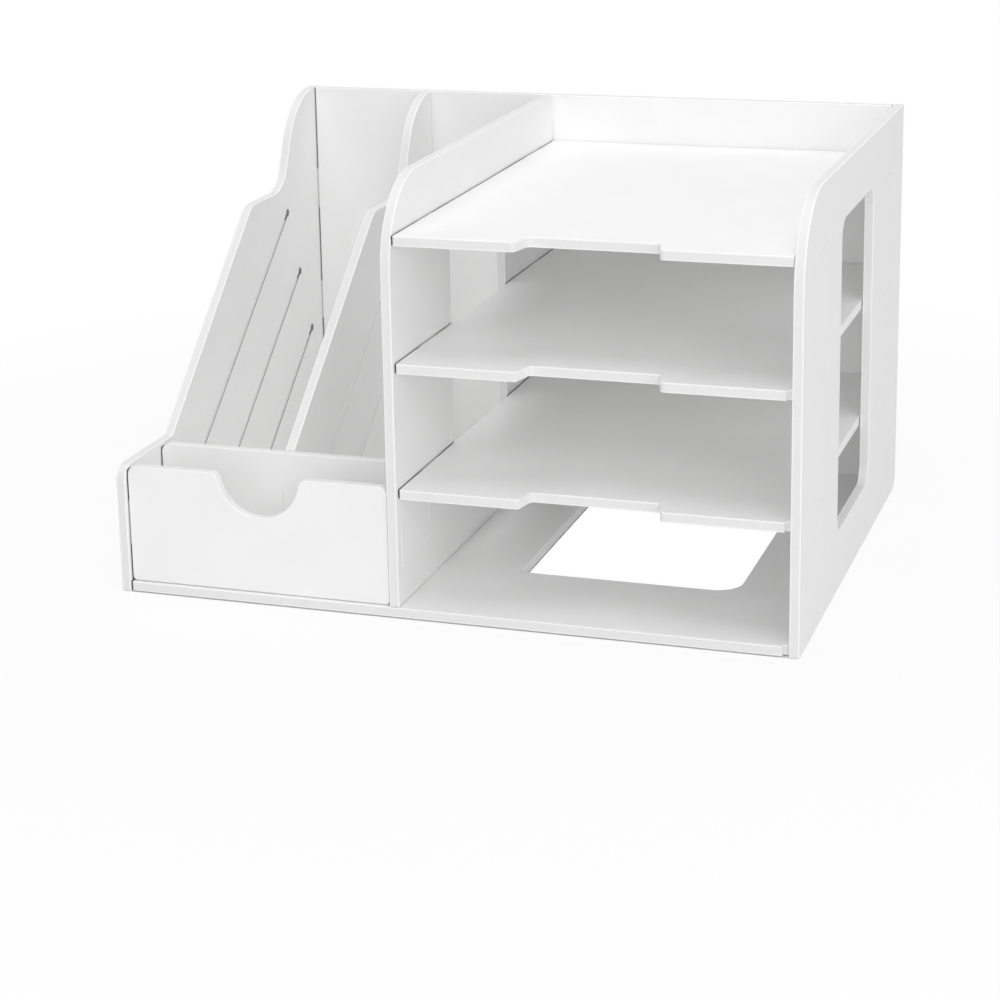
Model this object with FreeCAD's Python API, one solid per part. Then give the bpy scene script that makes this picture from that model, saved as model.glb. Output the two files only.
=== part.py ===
"""Desk sorter with two upright file bays, a scooped front bin and three letter trays.

Eleven flat boards, keyed together with tongues and slots. Millimetres, +X to the right, +Y to the back, +Z up.
The origin is on the floor, under the middle of the sorter.
"""
import FreeCAD, Part
import math
import os

V = FreeCAD.Vector

# Boards and bays
board = 6.0
height = 262.5
depth = 332.0
file_bay_width = 81.5
tray_bay_width = 233.0
base_lift = 1.0
rim_height = 31.5
low_wall_rise = 1.0
bin_depth = 51.0

# Levels of the lower trays, as shares of the way from the base up to the top tray
lower_tray_share = 0.323
middle_tray_share = 0.663

# Edges that stand back from the side panels
back_inset = 1.0
base_setback = 0.5
tray_setback = 3.5
bin_setback = 2.5

# Fits between boards
shoulder_gap = 0.8
seat_gap = 0.5
tongue_relief = 0.15
tongue_shy = 0.2
overrun = 2.0

# Tongues and where they sit along their boards
tongue_length = 28.0
wall_tongue_drop = 15.0
wall_foot_tongue_inset = 28.0
tray_tongue_front = 46.5
tray_tongue_rear = 42.0
base_tongue_front = 18.0
base_tongue_middle = 140.0
base_tongue_rear = 32.0
partition_tongue_front = 110.0
back_tongue_foot = 95.0
back_tongue_crown = 58.0

# Rounding
edge_round = 0.45
front_round = 51.0
foot_round = 2.0
rear_foot_round = 12.0
level_corner_round = 1.0
wall_crown_round = 5.5
wall_foot_round = 2.5
low_front_round = 10.0
side_share = 0.49

# Step that cuts back the right front corner of the base and the two lower trays
corner_step = 3.0

# Slanted front of the file boards
crown_depth = 40.0
neck_height = 62.0
neck_angle = 65.0
ledge_length = 55.2
slope_foot_setback = 12.0
shoulder_round = 50.0
neck_round = 24.0
brow_round = 18.0
slope_foot_round = 4.0

# Slits of the file boards
slit_count = 3
slit_width = 3.2
slit_eye = 5.4
slit_first_setback = 5.0
slit_first_drop = 17.0
slit_last_drop = 107.7
slit_last_margin = 27.5
slit_margin = 14.0

# Window of the divider and the right side panel
window_front = 113.0
window_rear = 110.0
window_sill = 30.0
window_drop = 2.2
window_round = 12.0

# Finger notch of a tray
notch_mouth_width = 84.0
notch_floor_width = 77.5
notch_depth = 15.5
notch_shift = -0.8
notch_round = 3.0

# Finger scoop of the bin front
scoop_radius = 26.5
scoop_depth = 26.1
scoop_shift = 1.7
lip_round = 5.0

# Cut-out of the base
cutout_front = 80.0
cutout_rear = 76.0
cutout_left = 50.2
cutout_right = 47.2
cutout_round = 16.0
cutout_tight_round = 1.5

# Faces of the boards, worked out from the sizes above
width = 2 * file_bay_width + tray_bay_width + 4 * board
left_face, right_face = -width / 2, width / 2
left_inner, right_inner = left_face + board, right_face - board
partition_left = left_inner + file_bay_width
partition_right = partition_left + board
divider_left = partition_right + file_bay_width
divider_right = divider_left + board
tray_middle = (divider_right + right_inner) / 2

front, rear = -depth / 2, depth / 2
base_face = front + base_setback
bin_face = front + bin_setback
stop_front = front + bin_depth
stop_rear = stop_front + board
partition_front = stop_rear + shoulder_gap
back_rear = rear - back_inset
back_front = back_rear - board
inner_rear = back_front - shoulder_gap

base_top = base_lift + board
upright_foot = base_top + seat_gap
top_tray_top = height - rim_height
tray_stack = top_tray_top - base_top
tray_feet = {"lower_tray": base_top + lower_tray_share * tray_stack - board,
             "middle_tray": base_top + middle_tray_share * tray_stack - board,
             "top_tray": top_tray_top - board}
low_wall_top = tray_feet["lower_tray"] + board + low_wall_rise

crown_front = rear - crown_depth
ledge_height = height - neck_height
ledge_rear = crown_front - neck_height / math.tan(math.radians(neck_angle))
ledge_front = ledge_rear - ledge_length
slope_foot = stop_rear + slope_foot_setback
slit_turn = math.atan2(ledge_height - low_wall_top, ledge_front - partition_front)

low_wall_faces = {"bin_front": bin_face, "file_stop": stop_front}

boards = {}


def corner(u, v, radius=0.0):
    """A corner of an outline, rounded with the radius given."""
    return ("corner", u, v, radius)


def via(u, v):
    """A point that an arc passes between the corners before and after it."""
    return ("via", u, v, 0.0)


def place(axis, at, u, v):
    """A point from its place along an axis and along the other two, in their order."""
    return {"x": V(at, u, v), "y": V(u, at, v), "z": V(u, v, at)}[axis]


def rounded(before, here, after):
    """Start, middle and end of the arc that rounds a corner, as large as its sides leave room for."""
    p = V(here[1], here[2], 0)
    back, ahead = V(before[1], before[2], 0) - p, V(after[1], after[2], 0) - p
    half = back.getAngle(ahead) / 2
    rooms = [side_share * side.Length * (1 if end[3] > 0 else 2) for side, end in ((back, before), (ahead, after))]
    setback = min(here[3] / math.tan(half), *rooms)
    radius = setback * math.tan(half)
    back.normalize()
    ahead.normalize()
    inward = (back + ahead).normalize()
    middle = p + inward * (radius / math.sin(half) - radius)
    return p + back * setback, middle, p + ahead * setback


def outline(axis, at, items):
    """A closed wire of straight runs and arcs through the items of an outline."""
    marks = []
    for index, item in enumerate(items):
        kind, u, v, radius = item
        if radius > 0:
            start, middle, end = rounded(items[index - 1], item, items[(index + 1) % len(items)])
            marks += [("corner", start), ("via", middle), ("corner", end)]
        else:
            marks.append((kind, V(u, v, 0)))
    points = [(kind, place(axis, at, p.x, p.y)) for kind, p in marks]
    edges = []
    for index, (kind, p) in enumerate(points):
        next_kind, following = points[(index + 1) % len(points)]
        if kind == "via":
            edges.append(Part.Arc(points[index - 1][1], p, following).toShape())
        elif next_kind == "corner":
            edges.append(Part.makeLine(p, following))
    return Part.Wire(edges)


def plate(axis, at, items, thickness=board):
    """A flat plate with this outline, its first face at a place along the axis."""
    return Part.Face(outline(axis, at, items)).extrude(place(axis, thickness, 0, 0))


def rectangle(u, v):
    """The outline of a rectangle with sharp corners, from its two ranges."""
    return [corner(u[0], v[0]), corner(u[1], v[0]), corner(u[1], v[1]), corner(u[0], v[1])]


def finished(axis, at, items, *openings):
    """A board with its openings cut through, and the edges of both its faces softly rounded."""
    solid = plate(axis, at, items)
    for opening in openings:
        solid = solid.cut(plate(axis, at - overrun, opening, board + 2 * overrun))
    faces = (at, at + board)

    def on_a_face(edge):
        span = edge.BoundBox
        low = {"x": span.XMin, "y": span.YMin, "z": span.ZMin}[axis]
        high = {"x": span.XMax, "y": span.YMax, "z": span.ZMax}[axis]
        return any(abs(low - face) < edge_round and abs(high - face) < edge_round for face in faces)

    return solid.makeFillet(edge_round, [edge for edge in solid.Edges if on_a_face(edge)])


def block(axis, along, u, v):
    """A block from its range along an axis and its ranges along the other two, in their order."""
    one, other = place(axis, along[0], u[0], v[0]), place(axis, along[1], u[1], v[1])
    low = V(min(one.x, other.x), min(one.y, other.y), min(one.z, other.z))
    return Part.makeBox(abs(one.x - other.x), abs(one.y - other.y), abs(one.z - other.z), low)


def thick(start):
    """The range that a board takes up from one of its faces."""
    return start, start + board


def long(start):
    """The range that the slot of a tongue takes up from one of its ends."""
    return start, start + tongue_length


def relieved(reach):
    """The range of a slot narrowed to that of the tongue that goes through it."""
    return reach[0] + tongue_relief, reach[1] - tongue_relief


def key(tongued, slotted, axis, near, far, u, v):
    """Cut a slot through one board, from its near face to its far face, and give another the tongue for it."""
    way = math.copysign(1, far - near)
    root = near - way * (shoulder_gap + edge_round + overrun)
    tongue = block(axis, (root, far - way * tongue_shy), relieved(u), relieved(v))
    slot = block(axis, (near - way * overrun, far + way * overrun), u, v)
    boards[tongued] = boards[tongued].fuse(tongue).removeSplitter()
    boards[slotted] = boards[slotted].cut(slot)


def slanted_crown():
    """The corners of a file board's slanted front, from its crown at the back to the end of its ledge."""
    return [corner(crown_front, height, shoulder_round),
            corner(ledge_rear, ledge_height, neck_round),
            corner(ledge_front, ledge_height, brow_round)]


def slits(face):
    """The slits of a file board: parallel to the partition's slope, each with a round eye at its upper end."""
    first = V(face - overrun, ledge_rear + slit_first_setback, ledge_height - slit_first_drop)
    last = V(face - overrun, rear - slit_last_margin, ledge_height - slit_last_drop)
    lowest = base_top + slit_margin
    half = V(0, -math.sin(slit_turn), math.cos(slit_turn)) * (slit_width / 2)
    tools = []
    for index in range(slit_count):
        top = first + (last - first) * (index / max(slit_count - 1, 1))
        foot_y = max(stop_rear + slit_margin, top.y - (top.z - lowest) / math.tan(slit_turn))
        foot = V(top.x, foot_y, top.z - (top.y - foot_y) * math.tan(slit_turn))
        strip = Part.makePolygon([foot - half, top - half, top + half, foot + half, foot - half])
        across = V(board + 2 * overrun, 0, 0)
        tools.append(Part.Face(strip).extrude(across))
        tools.append(Part.makeCylinder(slit_eye / 2, across.x, top, across))
        tools.append(Part.makeCylinder(slit_width / 2, across.x, foot, across))
    return tools


def left_side_panel():
    """The left side panel: low in front, then a slope up to a ledge and a tall back corner."""
    items = [corner(front, 0, foot_round), corner(rear, 0, rear_foot_round), corner(rear, height)]
    items += slanted_crown()
    items += [corner(slope_foot, low_wall_top, slope_foot_round),
              corner(front, low_wall_top, low_front_round)]
    return finished("x", left_face, items).cut(slits(left_face))


def file_partition():
    """The partition between the file bays: its slope runs from the ledge down to the file stop."""
    items = [corner(partition_front, upright_foot), corner(inner_rear, upright_foot), corner(inner_rear, height)]
    items += slanted_crown()
    items.append(corner(partition_front, low_wall_top, slope_foot_round))
    return finished("x", partition_left, items).cut(slits(partition_left))


def window(rear_end):
    """The outline of the window of a board, as far ahead of its rear end on each board that has one."""
    u = (front + window_front + rear_end - rear, rear_end - window_rear)
    v = (base_top + window_sill, top_tray_top - window_drop)
    return [corner(item[1], item[2], window_round) for item in rectangle(u, v)]


def divider_panel():
    """The divider between the file bays and the trays, with its window."""
    items = [corner(base_face, upright_foot), corner(inner_rear, upright_foot),
             corner(inner_rear, height), corner(base_face, height, front_round)]
    return finished("x", divider_left, items, window(inner_rear))


def right_side_panel():
    """The right side panel, with its window."""
    items = [corner(front, 0, foot_round), corner(rear, 0, rear_foot_round),
             corner(rear, height), corner(front, height, front_round)]
    return finished("x", right_inner, items, window(rear))


def back_panel():
    """The closed back between the side panels."""
    across = (left_inner + shoulder_gap, right_inner - shoulder_gap)
    return finished("y", back_front, rectangle(across, (base_lift, height)))


def cut_back(right, face):
    """The right front corner of a level board that stops short of the side panel in front."""
    return [corner(right - corner_step, face, level_corner_round),
            corner(right - corner_step, face + corner_step), corner(right, face + corner_step)]


def base_board():
    """The base between the side panels, with the large cut-out under the trays."""
    left, right = left_inner + shoulder_gap, right_inner - shoulder_gap
    items = [corner(left, base_face, level_corner_round), *cut_back(right, base_face),
             corner(right, inner_rear), corner(left, inner_rear)]
    cut_left, cut_right = divider_right + cutout_left, right_inner - cutout_right
    cut_front, cut_rear = front + cutout_front, rear - cutout_rear
    cutout = [corner(cut_left, cut_front, cutout_tight_round), corner(cut_right, cut_front, cutout_round),
              corner(cut_right, cut_rear, cutout_round), corner(cut_left, cut_rear, cutout_tight_round)]
    return finished("z", base_lift, items, cutout)


def tray(name, foot):
    """A letter tray with a finger notch in the middle of its front edge."""
    left, right = divider_right + shoulder_gap, right_inner - shoulder_gap
    face, middle = front + tray_setback, tray_middle + notch_shift
    end = [corner(right, face, level_corner_round)] if name == "top_tray" else cut_back(right, face)
    items = [corner(left, face, level_corner_round),
             corner(middle - notch_mouth_width / 2, face, notch_round),
             corner(middle - notch_floor_width / 2, face + notch_depth, notch_round),
             corner(middle + notch_floor_width / 2, face + notch_depth, notch_round),
             corner(middle + notch_mouth_width / 2, face, notch_round),
             *end, corner(right, inner_rear), corner(left, inner_rear)]
    return finished("z", foot, items)


def scoop(middle):
    """The finger scoop, from its left lip to its right one: three arcs, each tangent to the next."""
    centre = V(middle, low_wall_top - scoop_depth + scoop_radius, 0)
    lip_height = low_wall_top - lip_round
    reach = math.sqrt((scoop_radius + lip_round) ** 2 - (lip_height - centre.y) ** 2)
    items = [via(middle, low_wall_top - scoop_depth)]
    for side in (-1, 1):
        lip = V(middle + side * reach, lip_height, 0)
        towards = (centre - lip).normalize()
        touch = lip + towards * lip_round
        crest = lip + (towards + V(0, 1, 0)).normalize() * lip_round
        arc = [corner(lip.x, low_wall_top), via(crest.x, crest.y), corner(touch.x, touch.y)]
        items = arc + items if side < 0 else items + arc[::-1]
    return items


def low_wall(face, crown):
    """A low wall across the file bays, with what its upper edge has between the corners."""
    left, right = left_inner + shoulder_gap, divider_left - shoulder_gap
    items = [corner(right, upright_foot, wall_foot_round), corner(left, upright_foot, wall_foot_round),
             corner(left, low_wall_top, wall_crown_round)]
    items += crown
    items.append(corner(right, low_wall_top, wall_crown_round))
    return finished("y", face, items)


def make_boards():
    """All the boards with their outlines and openings, before they are keyed together."""
    boards["left_side_panel"] = left_side_panel()
    boards["file_partition"] = file_partition()
    boards["divider_panel"] = divider_panel()
    boards["right_side_panel"] = right_side_panel()
    boards["back_panel"] = back_panel()
    boards["base_board"] = base_board()
    for name, foot in tray_feet.items():
        boards[name] = tray(name, foot)
    middle = (left_inner + divider_left) / 2 + scoop_shift
    boards["bin_front"] = low_wall(bin_face, scoop(middle))
    boards["file_stop"] = low_wall(stop_front, [])


def key_low_walls():
    """The bin front and the file stop into the left side panel and the divider, and the stop into the base."""
    level = long(tray_feet["lower_tray"] - wall_tongue_drop - tongue_length)
    for name, face in low_wall_faces.items():
        key(name, "left_side_panel", "x", left_inner, left_face, thick(face), level)
        key(name, "divider_panel", "x", divider_left, divider_right, thick(face), level)
    key("file_partition", "file_stop", "y", stop_rear, stop_front, thick(partition_left), level)
    inset = wall_foot_tongue_inset
    for start in (left_inner + inset, divider_left - inset - tongue_length):
        key("file_stop", "base_board", "z", base_top, base_lift, long(start), thick(stop_front))


def key_trays():
    """Each tray into the divider, the right side panel and the back."""
    for name, foot in tray_feet.items():
        for start in (front + tray_tongue_front, rear - tray_tongue_rear - tongue_length):
            key(name, "divider_panel", "x", divider_right, divider_left, long(start), thick(foot))
            key(name, "right_side_panel", "x", right_inner, right_face, long(start), thick(foot))
        middle = long(tray_middle - tongue_length / 2)
        key(name, "back_panel", "y", back_front, back_rear, middle, thick(foot))


def key_base():
    """The base into both side panels."""
    rears = (base_tongue_middle, base_tongue_rear)
    for start in (front + base_tongue_front, *(rear - back - tongue_length for back in rears)):
        key("base_board", "left_side_panel", "x", left_inner, left_face, long(start), thick(base_lift))
        key("base_board", "right_side_panel", "x", right_inner, right_face, long(start), thick(base_lift))


def key_uprights():
    """The partition and the divider into the base and the back, and the back into both side panels."""
    rear_foot = rear - tray_tongue_rear - tongue_length
    levels = (back_tongue_foot, height - back_tongue_crown - tongue_length)
    uprights = {"file_partition": (partition_left, partition_tongue_front),
                "divider_panel": (divider_left, tray_tongue_front)}
    for name, (face, first) in uprights.items():
        for start in (front + first, rear_foot):
            key(name, "base_board", "z", base_top, base_lift, thick(face), long(start))
        for level in levels:
            key(name, "back_panel", "y", back_front, back_rear, thick(face), long(level))
    for level in levels:
        key("back_panel", "left_side_panel", "x", left_inner, left_face, thick(back_front), long(level))
        key("back_panel", "right_side_panel", "x", right_inner, right_face, thick(back_front), long(level))


make_boards()
key_low_walls()
key_trays()
key_base()
key_uprights()

os.makedirs("parts", exist_ok=True)
for name, solid in boards.items():
    solid.exportStep("parts/" + name + ".step")
    print(name, "valid" if solid.isValid() else "BROKEN", len(solid.Solids), "solid", round(solid.Volume), "mm3")
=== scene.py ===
import math

import bpy
from mathutils import Matrix, Vector

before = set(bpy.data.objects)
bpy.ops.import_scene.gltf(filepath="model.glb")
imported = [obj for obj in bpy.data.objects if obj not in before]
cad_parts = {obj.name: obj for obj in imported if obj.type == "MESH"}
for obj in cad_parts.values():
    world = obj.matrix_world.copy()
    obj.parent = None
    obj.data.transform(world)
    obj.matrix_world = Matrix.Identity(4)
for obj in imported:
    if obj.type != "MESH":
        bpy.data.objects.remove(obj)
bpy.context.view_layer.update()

# The photograph's camera: where it stands, how it is turned, and how far the picture is cut off its middle
CAMERA_PLACE = (0.46118, -1.46626, 0.52749)
CAMERA_AZIMUTH = 18.891
CAMERA_ELEVATION = 14.71
CAMERA_ROLL = -1.198
PICTURE_SIZE = 1000
FOCAL_PIXELS = 2498.0
AXIS_PIXEL = (466.1, 351.7)
SENSOR_WIDTH = 36.0
CLIP_START = 0.05

# Lamps: azimuth and elevation seen from the object's middle, distance, width and height, and power in watts
OBJECT_MIDDLE = Vector((0, 0, 0.13))
LAMPS = {
    "lamp_above": (0, 88, 2.2, 2.4, 2.4, 29.0),
    "lamp_front": (5, 10, 2.8, 2.2, 1.1, 12.5),
    "lamp_camera": (19, 32, 2.8, 2.0, 1.4, 5.0),
    "lamp_right": (50, 20, 2.6, 2.0, 1.8, 13.5),
}
WORLD_LIGHT = 0.35
DIFFUSE_BOUNCES = 12

# Floor: its size and colour, and how much of its white is its own glow, near the object and further off
FLOOR_SIZE = 30
FLOOR_COLOUR = (0.9, 0.9, 0.9, 1)
GLOW_NEAR, GLOW_FAR = 0.88, 1.0
NEAR, FAR = 0.3, 0.8

# Parts of the floor in metres: under the unit it has no glow, and in the base's cut-out its glow is full
UNDER_UNIT = ((-0.209, 0.209), (-0.1648, 0.164))
IN_CUTOUT = ((0.0212, 0.1568), (-0.086, 0.090))

# Boards: the axis square to the faces of each
FACE_AXIS = {
    "left_side_panel": "X", "file_partition": "X", "divider_panel": "X", "right_side_panel": "X",
    "back_panel": "Y", "bin_front": "Y", "file_stop": "Y",
    "base_board": "Z", "lower_tray": "Z", "middle_tray": "Z", "top_tray": "Z",
}

# Board colours, from the duller to the lighter end of their mottling
SKIN_COLOURS = ((0.933, 0.933, 0.931, 1), (0.953, 0.953, 0.952, 1))
CORE_COLOURS = ((0.83, 0.83, 0.827, 1), (0.85, 0.85, 0.848, 1))
# Painted highlight on the rounded arrises and along the rims of the cut edges
PAINTED_EDGE_HIGHLIGHT = (0.975, 0.975, 0.975, 1)

# How far a surface faces along the board's axis on its cut edges, on its arrises, which get a painted
# highlight, and on its slit walls, which get painted shade and painted light
CUT_FACING = (0.35, 0.15)
ARRIS_HIGHLIGHT_FROM = (0.1, 0.3)
ARRIS_HIGHLIGHT_TO = (0.97, 0.85)
SLIT_FACING = (0.7, 0.3)

# Cut ends that face left or right on the other boards look like skin
END_FACING = (0.95, 0.8)

# Noises, in patches to the metre and levels of detail
MOTTLING = (34, 4.0)
GRAIN = (900, 2.0)
FINE = (1400, 2.0)
WIDE = (9, 2.0)
MOTTLING_RANGE = (0.3, 0.7)
GRAIN_RANGE = (0.35, 0.65)

# Roughness of the skin and what a cut edge adds to it, and the depths of the bump
SKIN_ROUGHNESS = (0.38, 0.46)
CUT_ROUGHNESS = 0.2
FINE_DEPTHS = (0.15, 0.25)
WIDE_DEPTH = 6.0
BUMP_STRENGTH = 0.35
BUMP_DISTANCE = 0.0001

# Walls of the slits, in metres: painted shade near the board's two faces and painted light deeper in, and
# painted shade all through in the round eyes. Where the slits lie, and the line through their eyes, comes from
# the solids.
SLIT_PAINTED_LIGHT = (0.96, 0.96, 0.96, 1)
SLIT_SHADED_DEPTH = 0.0007
SLIT_SHADED_SOFTNESS = 0.15
SLIT_RANGE_Y = (-0.104, 0.150)
SLIT_RANGE_Z = (0.015, 0.192)
SLIT_SLOPE = 0.8004
SLIT_CEILING = 0.147
EYE_LINE = (0.928, 0.3725, 0.1631)
EYE_REACH = 0.0045
EYE_LOWEST = 0.085
HALF_BOARD = 0.003

# Painted shade on the slit walls of the two boards that have slits
SLIT_PAINTED_SHADES = {"left_side_panel": (0.34, 0.34, 0.34, 1), "file_partition": (0.72, 0.72, 0.72, 1)}

# Painted highlight on the rims of the cut edges, next to the faces: where it starts and is full, from the
# board's middle
RIM_HIGHLIGHT_START, RIM_HIGHLIGHT_FULL = 0.0019, 0.0026

# Joints: the boxes in metres where a board's surface lies in the gap beside its neighbour, and the painted
# shade it gets there, so that the joint shows as a dark line
JOINT_SHADE = (0.28, 0.28, 0.28, 1)
BACK_JOINT_SHADE = (0.62, 0.62, 0.62, 1)
ANY = (-1.0, 1.0)
LEFT_GAP, RIGHT_GAP = (-0.20405, -0.20315), (0.20315, 0.20405)
BIN_GAP, TRAY_GAP = (-0.03585, -0.03495), (-0.02905, -0.02815)
LEFT_WALL, TRAY_WALL = (-0.2042, -0.2035), (-0.0293, -0.0286)
BACK_STRIP = (0.1588, 0.1652)
AHEAD_OF_WINDOW, BEHIND_WINDOW = (-0.17, -0.061), (0.049, 0.17)
TRAY_SIDES = (-0.1622, 0.1582)
TRAY_JOINT_SHADE_BOXES = [(TRAY_GAP, AHEAD_OF_WINDOW, ANY), (TRAY_GAP, BEHIND_WINDOW, ANY)]
JOINT_SHADE_BOXES = {
    "base_board": [(LEFT_GAP, ANY, ANY)],
    "lower_tray": TRAY_JOINT_SHADE_BOXES, "middle_tray": TRAY_JOINT_SHADE_BOXES, "top_tray": TRAY_JOINT_SHADE_BOXES,
    "back_panel": [(LEFT_GAP, ANY, ANY), (RIGHT_GAP, ANY, ANY)],
    "bin_front": [(LEFT_GAP, ANY, ANY), (BIN_GAP, ANY, ANY)],
    "file_stop": [(LEFT_GAP, ANY, ANY), (BIN_GAP, ANY, ANY)],
    "left_side_panel": [
        (LEFT_WALL, BACK_STRIP, ANY), (LEFT_WALL, (-0.1652, 0.164), (0.0008, 0.0072)),
        (LEFT_WALL, (-0.1632, -0.1573), (0.007, 0.078)), (LEFT_WALL, (-0.1147, -0.1088), (0.007, 0.078))],
    "divider_panel": [
        (TRAY_WALL, TRAY_SIDES, (0.0734, 0.0793)), (TRAY_WALL, TRAY_SIDES, (0.1496, 0.1554)),
        (TRAY_WALL, TRAY_SIDES, (0.2251, 0.2309)), (TRAY_WALL, (-0.1652, 0.1582), (0.001, 0.0069))],
}

# Tongue end of the partition, which shows in the file stop and looks like skin
TONGUE_END = {"file_partition": (ANY, (-0.2, -0.112), ANY)}


class Shader:
    """A small helper that adds nodes to a material and links them."""

    def __init__(self, tree):
        self.tree = tree
        tree.nodes.clear()

    def add(self, kind, settings=None, **sockets):
        """Adds a node, with settings for its fields and a value or another node's output for each socket."""
        node = self.tree.nodes.new(kind)
        for field, value in (settings or {}).items():
            setattr(node, field, value)
        for name, value in sockets.items():
            self.feed(node.inputs[name.replace("_", " ")], value)
        return node

    def feed(self, socket, value):
        """Gives a socket a value or links another node's output to it."""
        if isinstance(value, bpy.types.NodeSocket):
            self.tree.links.new(value, socket)
        else:
            socket.default_value = value

    def maths(self, operation, *values):
        """A sum on one, two or three numbers."""
        node = self.tree.nodes.new("ShaderNodeMath")
        node.operation = operation
        for socket, value in zip(node.inputs, values):
            self.feed(socket, value)
        return node.outputs[0]

    def span(self, value, low, high, start=0.0, end=1.0):
        """A number taken smoothly from one range to another."""
        node = self.add("ShaderNodeMapRange", {"interpolation_type": "SMOOTHSTEP"}, Value=value)
        for name, limit in zip(("From Min", "From Max", "To Min", "To Max"), (low, high, start, end)):
            node.inputs[name].default_value = limit
        return node.outputs[0]

    def noise(self, place, scale, detail):
        """Noise of a given scale, in patches to the metre."""
        return self.add("ShaderNodeTexNoise", Vector=place, Scale=scale, Detail=detail).outputs[0]

    def blend(self, share, one, other):
        """A colour between two, by a share."""
        node = self.tree.nodes.new("ShaderNodeMix")
        node.data_type = "RGBA"
        for index, value in ((0, share), (6, one), (7, other)):
            self.feed(node.inputs[index], value)
        return node.outputs[2]


def inside(s, value, low, high):
    """Whether a number lies between two others."""
    return s.maths("MULTIPLY", s.maths("GREATER_THAN", value, low), s.maths("LESS_THAN", value, high))


def in_box(s, sides, box):
    """Whether a place lies in a box."""
    shares = [inside(s, value, *limits) for value, limits in zip(sides, box) if limits != ANY]
    share = shares[0]
    for other in shares[1:]:
        share = s.maths("MULTIPLY", share, other)
    return share


def slit_shade_masks(s, sides, depth, cut):
    """Where the walls of the slits are, and where they get painted shade rather than painted light."""
    x, y, z = sides
    under = s.maths("SUBTRACT", s.maths("MULTIPLY_ADD", y, SLIT_SLOPE, SLIT_CEILING), z)
    wall = s.maths("MULTIPLY", inside(s, y, *SLIT_RANGE_Y), inside(s, z, *SLIT_RANGE_Z))
    wall = s.maths("MULTIPLY", wall, s.maths("GREATER_THAN", under, 0))
    wall = s.maths("MULTIPLY", wall, cut)
    shaded_lips = s.span(depth, SLIT_SHADED_DEPTH * (1 + SLIT_SHADED_SOFTNESS), SLIT_SHADED_DEPTH * (1 - SLIT_SHADED_SOFTNESS))
    ny, nz, reach = EYE_LINE
    off = s.maths("SUBTRACT", s.maths("MULTIPLY_ADD", y, ny, s.maths("MULTIPLY", z, nz)), reach)
    shaded_eye = s.maths("MULTIPLY", s.maths("LESS_THAN", s.maths("ABSOLUTE", off), EYE_REACH),
                  s.maths("GREATER_THAN", z, EYE_LOWEST))
    return wall, s.maths("MAXIMUM", shaded_lips, shaded_eye)


def board_material(axis, name, middle):
    """White foam board: a smooth satin skin on the faces, a duller and finer-grained cut edge round them,
    painted highlights on the arrises and rims, painted shade and light in the slit walls, and painted shade in
    the joint gaps.
    """
    material = bpy.data.materials.new("white_" + name)
    material.use_nodes = True
    s = Shader(material.node_tree)
    place = s.add("ShaderNodeTexCoord").outputs["Object"]
    normal = s.add("ShaderNodeSeparateXYZ", Vector=s.add("ShaderNodeNewGeometry").outputs["True Normal"])
    facing = s.maths("ABSOLUTE", normal.outputs[axis])
    sides = s.add("ShaderNodeSeparateXYZ", Vector=place).outputs
    off_middle = s.maths("ABSOLUTE", s.maths("SUBTRACT", sides[axis], middle))
    cut = s.span(facing, *CUT_FACING)
    if axis != "X":
        sideways = s.maths("ABSOLUTE", normal.outputs["X"])
        cut = s.maths("MULTIPLY", cut, s.span(sideways, *END_FACING))
    if name in TONGUE_END:
        cut = s.maths("MULTIPLY", cut, s.maths("SUBTRACT", 1, in_box(s, sides, TONGUE_END[name])))
    arris_highlight = s.maths("MULTIPLY", s.span(facing, *ARRIS_HIGHLIGHT_FROM), s.span(facing, *ARRIS_HIGHLIGHT_TO))

    mottling = s.span(s.noise(place, *MOTTLING), *MOTTLING_RANGE)
    grain = s.noise(place, *GRAIN)
    skin = s.blend(mottling, *SKIN_COLOURS)
    core = s.blend(s.span(grain, *GRAIN_RANGE), *CORE_COLOURS)
    # Painted highlight along the rims of the cut edges, next to the board's faces
    core = s.blend(s.span(off_middle, RIM_HIGHLIGHT_START, RIM_HIGHLIGHT_FULL), core, PAINTED_EDGE_HIGHLIGHT)
    # Painted highlight on the arrises
    colour = s.blend(arris_highlight, s.blend(cut, skin, core), PAINTED_EDGE_HIGHLIGHT)
    # Slit walls: painted shade near the faces and in the eyes, painted light deeper in
    if name in SLIT_PAINTED_SHADES:
        depth = s.maths("SUBTRACT", HALF_BOARD, off_middle)
        wall, painted_slit_shade = slit_shade_masks(s, sides, depth, s.span(facing, *SLIT_FACING))
        colour = s.blend(wall, colour, s.blend(painted_slit_shade, SLIT_PAINTED_LIGHT, SLIT_PAINTED_SHADES[name]))
    # Painted shade in the joint gaps beside neighbouring boards
    for box in JOINT_SHADE_BOXES.get(name, ()):
        at_back = name == "back_panel" or box[1] == BACK_STRIP
        colour = s.blend(in_box(s, sides, box), colour, BACK_JOINT_SHADE if at_back else JOINT_SHADE)

    gloss = s.maths("ADD", s.span(mottling, 0, 1, *SKIN_ROUGHNESS), s.maths("MULTIPLY", cut, CUT_ROUGHNESS))
    relief = s.maths("MULTIPLY", s.noise(place, *FINE), s.span(cut, 0, 1, *FINE_DEPTHS))
    relief = s.maths("ADD", relief, s.maths("MULTIPLY", s.noise(place, *WIDE), WIDE_DEPTH))
    bump = s.add("ShaderNodeBump", Height=relief, Strength=BUMP_STRENGTH, Distance=BUMP_DISTANCE)
    board = s.add("ShaderNodeBsdfPrincipled", Base_Color=colour, Roughness=gloss, Normal=bump.outputs[0])
    s.add("ShaderNodeOutputMaterial", Surface=board.outputs[0])
    return material


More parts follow.
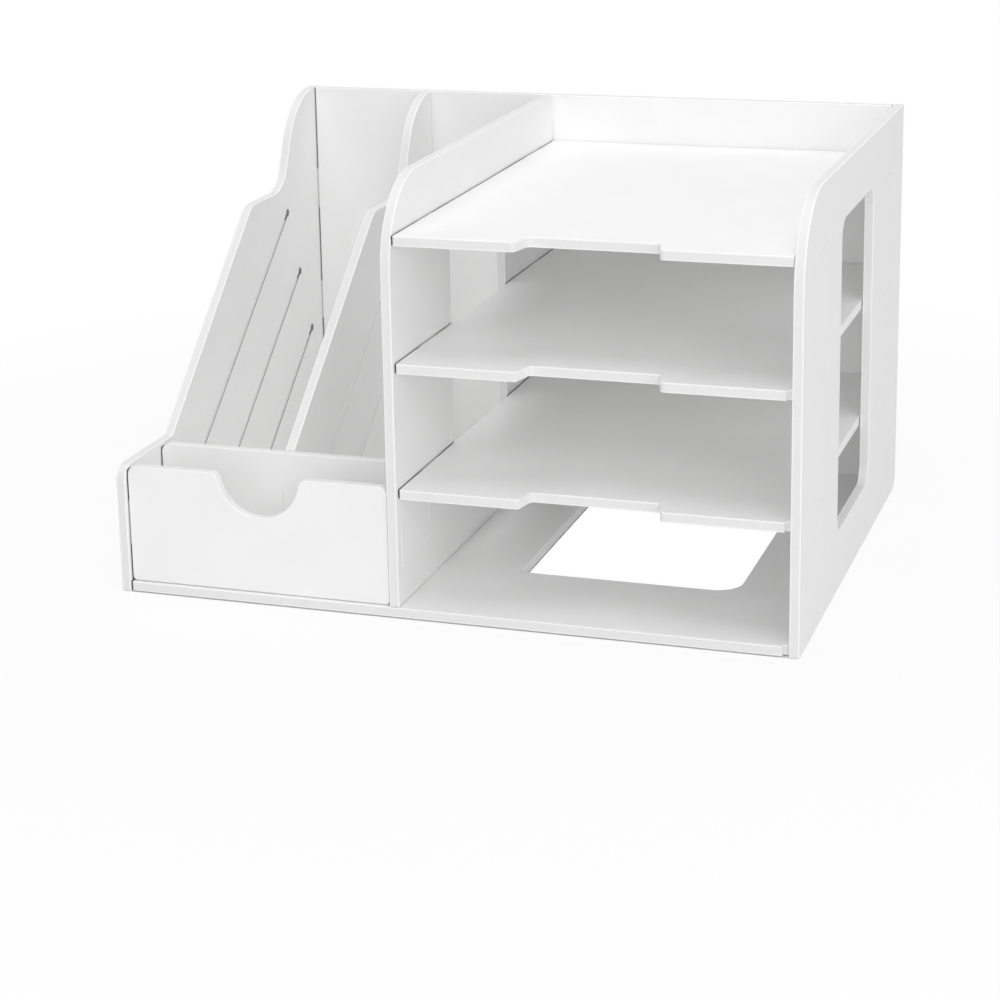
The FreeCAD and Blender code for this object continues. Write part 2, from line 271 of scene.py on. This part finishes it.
def dress_boards():
    """Gives each board the material whose cut edges lie round its own faces."""
    for name, axis in FACE_AXIS.items():
        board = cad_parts[name]
        places = [vertex.co["XYZ".index(axis)] for vertex in board.data.vertices]
        board.data.materials.clear()
        board.data.materials.append(board_material(axis, name, (min(places) + max(places)) / 2))


def seen_directly(s):
    """Whether a ray comes from the camera or off a gloss."""
    rays = s.add("ShaderNodeLightPath")
    return s.maths("MAXIMUM", rays.outputs["Is Camera Ray"], rays.outputs["Is Glossy Ray"])


def make_floor():
    """A plain pale floor that the camera sees as white, and that keeps the object's shadow."""
    bpy.ops.mesh.primitive_plane_add(size=FLOOR_SIZE)
    floor = bpy.context.object
    floor.name = "floor"
    material = bpy.data.materials.new("floor_white")
    material.use_nodes = True
    s = Shader(material.node_tree)
    matt = s.add("ShaderNodeBsdfDiffuse", Color=FLOOR_COLOUR)
    glow = s.add("ShaderNodeEmission")
    away = s.add("ShaderNodeVectorMath", {"operation": "LENGTH"})
    s.feed(away.inputs[0], s.add("ShaderNodeTexCoord").outputs["Object"])
    share = s.maths("MULTIPLY", seen_directly(s), s.span(away.outputs["Value"], NEAR, FAR, GLOW_NEAR, GLOW_FAR))
    sides = s.add("ShaderNodeSeparateXYZ", Vector=s.add("ShaderNodeTexCoord").outputs["Object"]).outputs
    share = s.maths("MULTIPLY", share, s.maths("SUBTRACT", 1, in_box(s, sides, UNDER_UNIT + (ANY,))))
    in_cutout = s.maths("MULTIPLY", seen_directly(s), in_box(s, sides, IN_CUTOUT + (ANY,)))
    share = s.maths("MAXIMUM", share, in_cutout)
    mix = s.add("ShaderNodeMixShader")
    for socket, value in zip(mix.inputs, (share, matt.outputs[0], glow.outputs[0])):
        s.feed(socket, value)
    s.add("ShaderNodeOutputMaterial", Surface=mix.outputs[0])
    floor.data.materials.append(material)


def make_world():
    """A soft even light from all round, which the camera sees as white."""
    world = bpy.data.worlds.new("studio")
    bpy.context.scene.world = world
    world.use_nodes = True
    s = Shader(world.node_tree)
    light = s.add("ShaderNodeBackground", Color=(1, 1, 1, 1), Strength=WORLD_LIGHT)
    white = s.add("ShaderNodeBackground", Color=(1, 1, 1, 1), Strength=1.0)
    mix = s.add("ShaderNodeMixShader")
    for socket, value in zip(mix.inputs, (seen_directly(s), light.outputs[0], white.outputs[0])):
        s.feed(socket, value)
    s.add("ShaderNodeOutputWorld", Surface=mix.outputs[0])


def towards(azimuth, elevation):
    """The direction from the object to a place seen at this azimuth and elevation."""
    a, e = math.radians(azimuth), math.radians(elevation)
    return Vector((math.sin(a) * math.cos(e), -math.cos(a) * math.cos(e), math.sin(e)))


def make_lamps():
    """Large soft lamps, each turned to the middle of the object."""
    for name, (azimuth, elevation, distance, width, height, power) in LAMPS.items():
        lamp = bpy.data.lights.new(name, "AREA")
        lamp.shape = "RECTANGLE"
        lamp.size = width
        lamp.size_y = height
        lamp.energy = power
        piece = bpy.data.objects.new(name, lamp)
        way = towards(azimuth, elevation)
        piece.location = OBJECT_MIDDLE + way * distance
        piece.rotation_euler = way.to_track_quat("Z", "Y").to_euler()
        bpy.context.scene.collection.objects.link(piece)


def make_camera():
    """The photograph's camera."""
    data = bpy.data.cameras.new("camera")
    data.sensor_width = SENSOR_WIDTH
    data.lens = SENSOR_WIDTH * FOCAL_PIXELS / PICTURE_SIZE
    data.shift_x = 0.5 - AXIS_PIXEL[0] / PICTURE_SIZE
    data.shift_y = AXIS_PIXEL[1] / PICTURE_SIZE - 0.5
    data.clip_start = CLIP_START
    ahead = -towards(CAMERA_AZIMUTH, CAMERA_ELEVATION)
    level = Vector((math.cos(math.radians(CAMERA_AZIMUTH)), math.sin(math.radians(CAMERA_AZIMUTH)), 0))
    upright = level.cross(ahead)
    roll = math.radians(CAMERA_ROLL)
    right = level * math.cos(roll) + upright * math.sin(roll)
    up = upright * math.cos(roll) - level * math.sin(roll)
    turn = Matrix((right, up, -ahead)).transposed()
    camera = bpy.data.objects.new("camera", data)
    camera.matrix_world = Matrix.Translation(CAMERA_PLACE) @ turn.to_4x4()
    bpy.context.scene.collection.objects.link(camera)
    bpy.context.scene.camera = camera


dress_boards()
make_floor()
make_world()
make_lamps()
make_camera()
bpy.context.scene.view_settings.view_transform = "Standard"
bpy.context.scene.cycles.diffuse_bounces = DIFFUSE_BOUNCES
